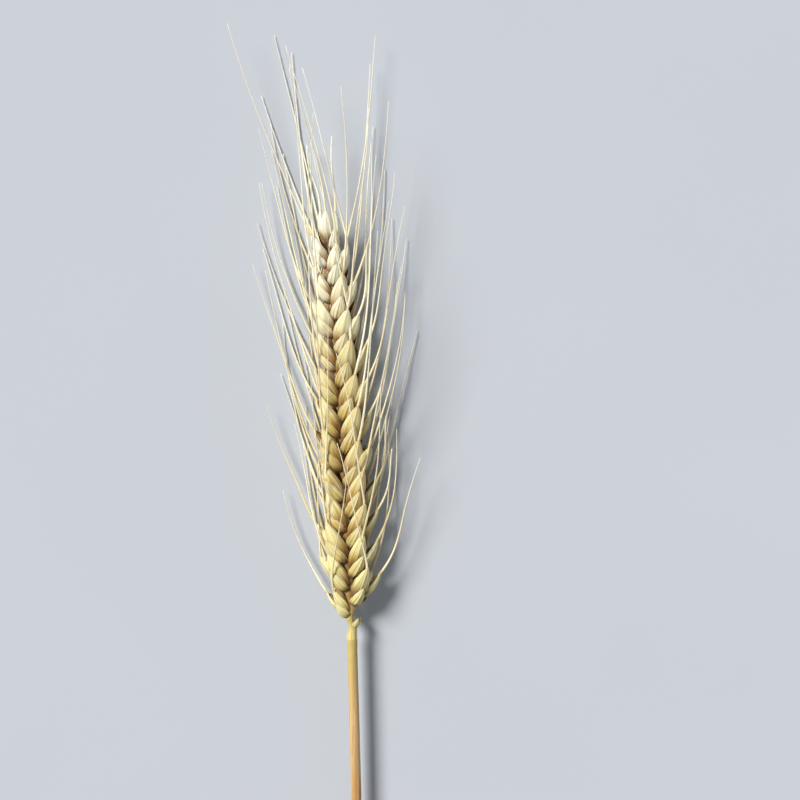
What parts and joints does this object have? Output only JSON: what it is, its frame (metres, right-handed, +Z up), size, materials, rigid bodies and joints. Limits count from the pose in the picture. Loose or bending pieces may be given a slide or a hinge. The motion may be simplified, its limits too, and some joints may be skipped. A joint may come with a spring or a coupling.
{
  "type": "dried wheat stem",
  "caption": "Dried bearded wheat ear with long fine awns on a bare hollow straw, cut and lying on its side.",
  "frame": {"origin": "on the surface that the stem lies on, under the middle of its bounding box", "axes": "+Y runs from the straw's cut end to the ear and its awns, +Z is up from the surface"},
  "size_m": [0.0486, 0.4068, 0.0275],
  "materials": {
    "straw": "satin",
    "husk": "satin"
  },
  "bodies": {
    "root": {"straw": "straw", "ear": "husk"}
  },
  "joints": []
}
